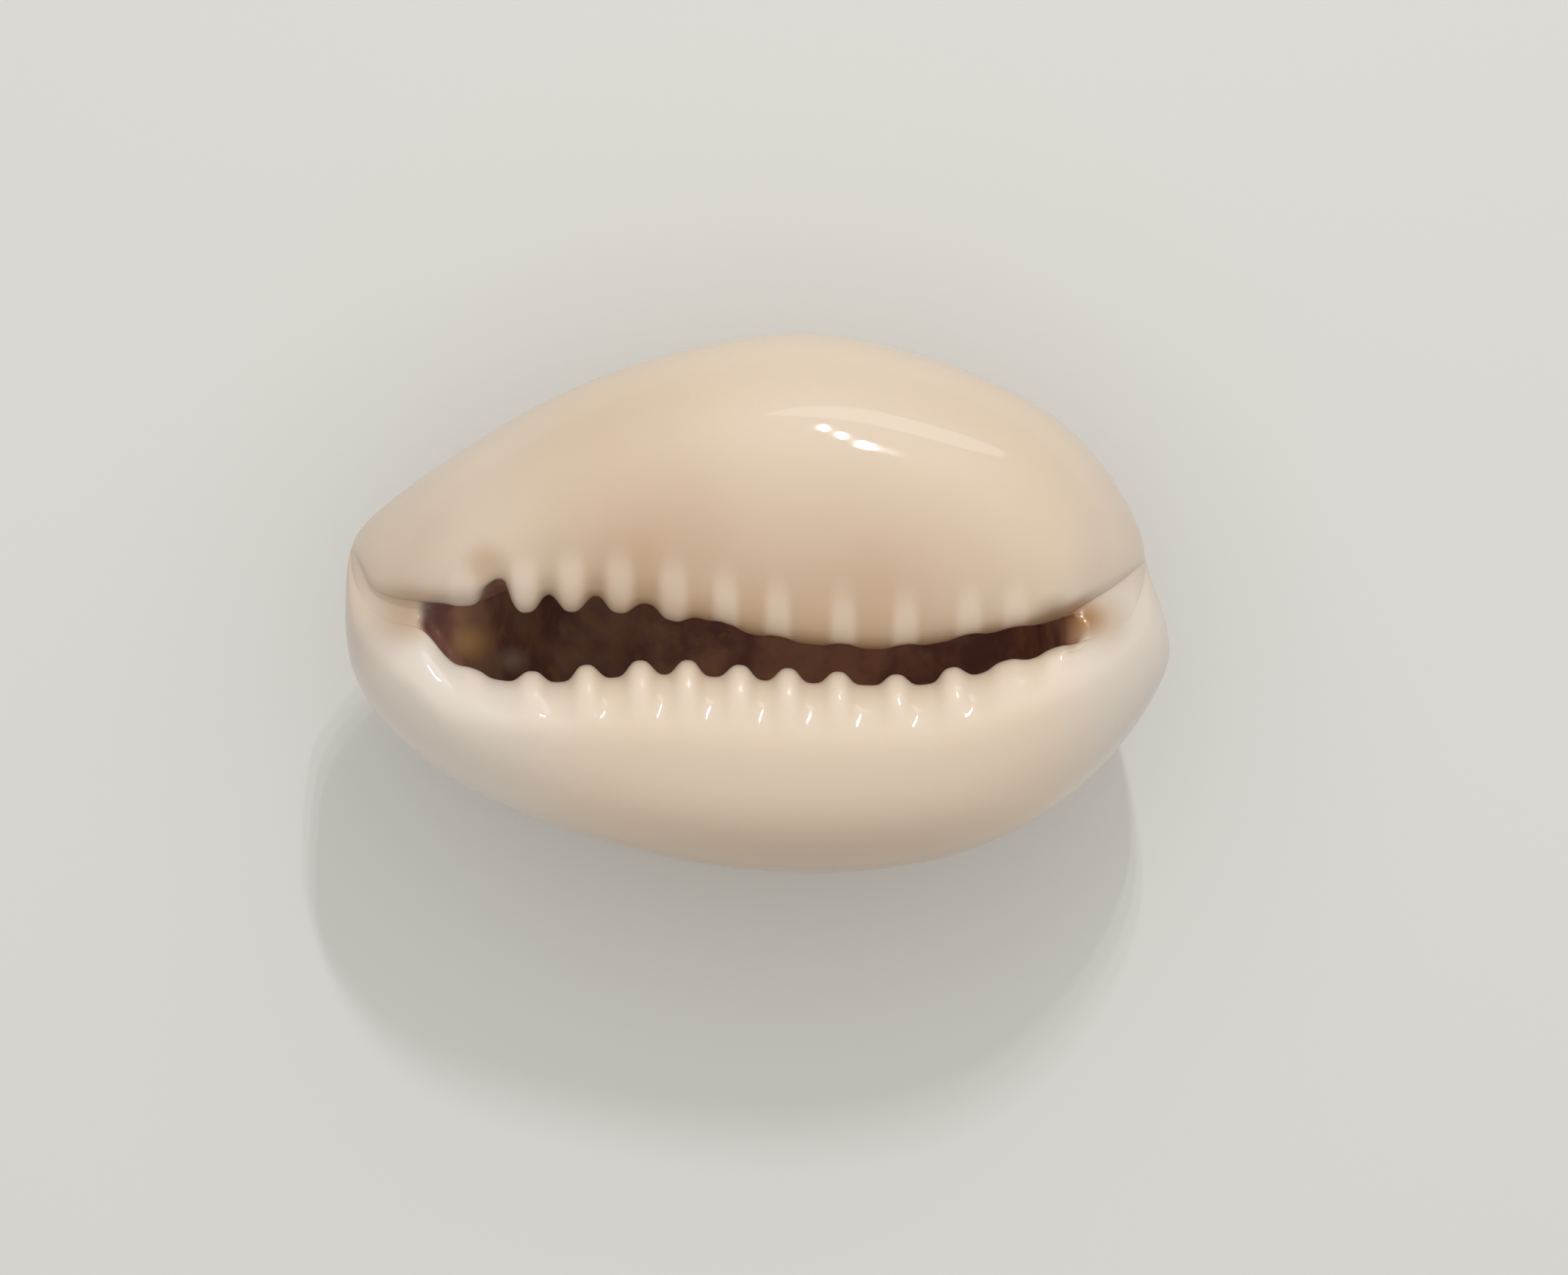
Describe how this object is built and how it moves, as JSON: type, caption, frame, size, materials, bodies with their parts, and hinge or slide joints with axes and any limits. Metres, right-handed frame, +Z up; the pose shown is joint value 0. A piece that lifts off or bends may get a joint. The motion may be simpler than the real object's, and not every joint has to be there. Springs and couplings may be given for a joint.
{
  "type": "cowrie shell",
  "caption": "Small glossy cowrie shell lying on its rounded back, with its toothed slot of an aperture facing up.",
  "frame": {"origin": "centre of the shell's box in plan, at the height of the small flat spot that it rests on", "axes": "+X to the rear canal, -X to the front canal, +Y to the inner (columella) side, -Y to the outer lip, +Z up out of the aperture"},
  "size_m": [0.025, 0.0164, 0.0126],
  "materials": {
    "shell": "glossy natural enamel, cream to fawn"
  },
  "bodies": {
    "root": {"shell": "shell"}
  },
  "joints": []
}
